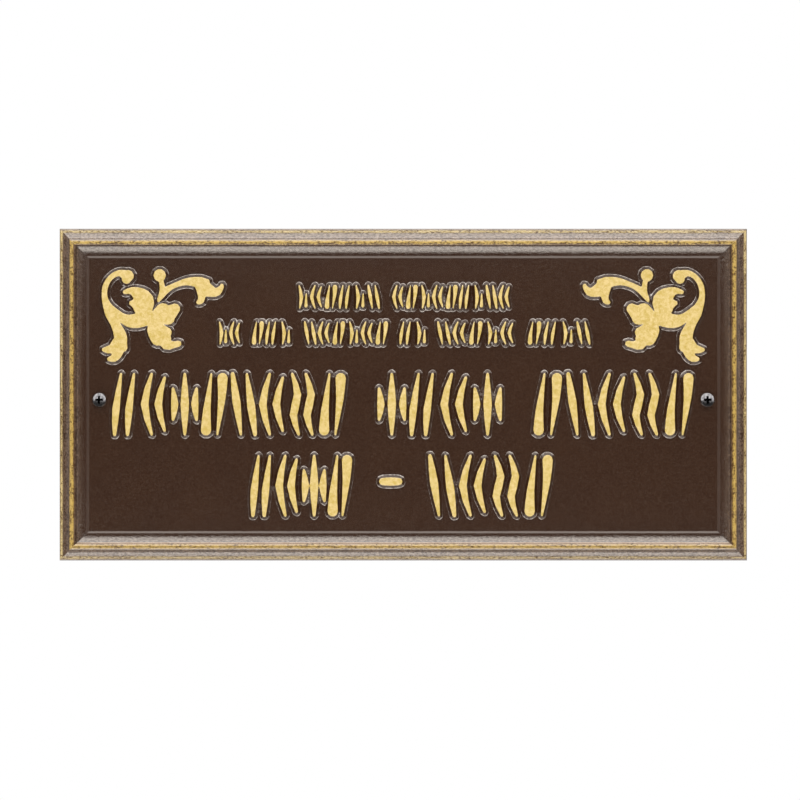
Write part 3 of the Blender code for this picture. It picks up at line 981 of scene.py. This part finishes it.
    def set_bump(self):
        pitted = self.math(
            "ADD", self.times(self.speckle, BUMP_SPECKLE), self.times(self.grain, BUMP_GRAIN)
        )
        relief = self.math("ADD", pitted, self.times(self.streaks, self.in_frame))
        strength = self.mix_value(self.in_frame, FIELD_BUMP, FRAME_BUMP)
        strength = self.mix_value(self.on_flank, strength, FLANK_BUMP)
        bump = self.node("ShaderNodeBump", {"Height": relief, "Strength": strength, "Distance": BUMP_DEPTH})
        self.put(self.surface.inputs["Normal"], bump.outputs[0])


def casting_paint(width, height):
    """Satin dark brown paint, solid gold on the raised tops, and gold rubbed over the bead and the lip."""
    shader = CastingShader(width, height)
    frame_share, frame_gold = shader.rubbed_gold()
    top_share, top_gold = shader.top_gold()
    colour = shader.mix(shader.dry_gold(), shader.brown(), DRY_GOLD)
    colour = shader.mix(frame_share, colour, frame_gold)
    colour = shader.mix(top_share, colour, top_gold)
    shader.put(shader.surface.inputs["Base Color"], colour)
    shader.set_roughness(frame_share, top_share)
    shader.set_sheen()
    shader.set_bump()
    return shader.material


def screw_steel():
    """Blackened steel with painted shade down in the recess, and a fine grain."""
    shader = Shader("screw_steel")
    place = shader.node("ShaderNodeTexCoord").outputs["Object"]
    grain = shader.noise(place, scale=3000, detail=3, roughness=0.6)
    clouds = shader.noise(place, scale=600, detail=2, roughness=0.5)
    recess = shader.node("ShaderNodeAttribute", attribute_name="recess").outputs["Fac"]
    colour = shader.mix(shader.between(clouds, *NOISE_SPREAD), STEEL_DARK, STEEL_PALE)
    # Painted shade: near black down inside the recess
    colour = shader.mix(shader.between(recess, *RECESS_SPREAD), colour, RECESS_PAINTED_SHADE)
    shader.put(shader.surface.inputs["Base Color"], colour)
    shader.put(shader.surface.inputs["Metallic"], 1.0)
    shader.put(shader.surface.inputs["Roughness"], shader.mix_value(grain, *STEEL_ROUGHNESS))
    bump = shader.node(
        "ShaderNodeBump", {"Height": grain, "Strength": STEEL_BUMP, "Distance": STEEL_BUMP_DEPTH}
    )
    shader.put(shader.surface.inputs["Normal"], bump.outputs[0])
    return shader.material


# Stage


def softbox(name, side, first, last, reach, width, radiance):
    """A soft rectangle of light that fills the angles from first to last, in degrees off the front axis,
    towards this side (x, z) of the plaque."""
    ends = []
    for angle in (first, last):
        turn = math.radians(angle)
        out = math.sin(turn)
        ends.append(Vector((side[0] * out, -math.cos(turn), side[1] * out)) * reach)
    along = ends[1] - ends[0]
    light = bpy.data.lights.new(name, "AREA")
    light.shape = "RECTANGLE"
    light.size, light.size_y = width, along.length
    light.energy = radiance * math.pi * width * along.length
    across = Vector((side[1], 0, -side[0]))
    away = across.cross(along).normalized()
    turned = Matrix((across, along.normalized(), away)).transposed().to_4x4()
    lamp = bpy.data.objects.new(name, light)
    lamp.matrix_world = Matrix.Translation((ends[0] + ends[1]) / 2) @ turned
    lamp.visible_camera = False
    bpy.context.scene.collection.objects.link(lamp)


def stage():
    mesh = bpy.data.meshes.new("studio_floor")
    corners = [(-1, FLOOR_FRONT), (1, FLOOR_FRONT), (1, FLOOR_BACK), (-1, FLOOR_BACK)]
    mesh.from_pydata([(side * FLOOR_HALF_WIDTH, y, FLOOR) for side, y in corners], [], [(0, 1, 2, 3)])
    floor = bpy.data.objects.new("studio_floor", mesh)
    bpy.context.scene.collection.objects.link(floor)
    shader = Shader("studio_floor")
    place = shader.node("ShaderNodeTexCoord").outputs["Object"]
    clouds = shader.noise(place, scale=6, detail=2, roughness=0.5)
    colour = shader.mix(clouds, FLOOR_DARK, FLOOR_PALE)
    shader.put(shader.surface.inputs["Base Color"], colour)
    shader.put(shader.surface.inputs["Roughness"], FLOOR_ROUGHNESS)
    mesh.materials.append(shader.material)


def studio_world(fill):
    """A dim even surround for the object, and plain white where the camera sees past it."""
    white = (1, 1, 1, 1)
    world = bpy.data.worlds.new("studio")
    world.use_nodes = True
    tree = world.node_tree
    tree.nodes.clear()
    path = tree.nodes.new("ShaderNodeLightPath")
    lit = tree.nodes.new("ShaderNodeBackground")
    lit.inputs["Color"].default_value = white
    lit.inputs["Strength"].default_value = fill
    seen = tree.nodes.new("ShaderNodeBackground")
    seen.inputs["Color"].default_value = white
    seen.inputs["Strength"].default_value = 1.0
    mix = tree.nodes.new("ShaderNodeMixShader")
    out = tree.nodes.new("ShaderNodeOutputWorld")
    tree.links.new(path.outputs["Is Camera Ray"], mix.inputs[0])
    tree.links.new(lit.outputs[0], mix.inputs[1])
    tree.links.new(seen.outputs[0], mix.inputs[2])
    tree.links.new(mix.outputs[0], out.inputs[0])
    bpy.context.scene.world = world


def camera():
    data = bpy.data.cameras.new("camera")
    data.lens = LENS
    data.sensor_width = SENSOR_WIDTH
    made = bpy.data.objects.new("camera", data)
    made.location = CAMERA_PLACE
    made.rotation_euler = (math.radians(90), 0, 0)
    bpy.context.scene.collection.objects.link(made)
    bpy.context.scene.camera = made


def main():
    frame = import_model()
    low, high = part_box("plaque_casting")
    camera()
    steel = screw_steel()
    places = []
    for side in ("left", "right"):
        near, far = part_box(f"screw_{side}")
        places.append(((near[0] + far[0]) / 2, (near[2] + far[2]) / 2))
        screw(f"wall_screw_{side}", f"screw_{side}", steel)
    paint = casting_paint(high[0] - low[0], high[2] - low[2])
    casting(frame["nodes"]["plaque_casting"], places, paint)

    stage()
    studio_world(FILL_LIGHT)
    softbox("light_above", (0, 1), first=18, last=105, reach=1.25, width=2.2, radiance=4.2)
    softbox("light_below", (0, -1), first=18, last=76, reach=1.2, width=2.2, radiance=3.4)
    softbox("light_left", (-1, 0), first=58, last=110, reach=1.3, width=1.0, radiance=0.55)
    softbox("light_right", (1, 0), first=58, last=110, reach=1.3, width=1.0, radiance=0.55)
    bpy.context.scene.view_settings.view_transform = "Standard"


main()
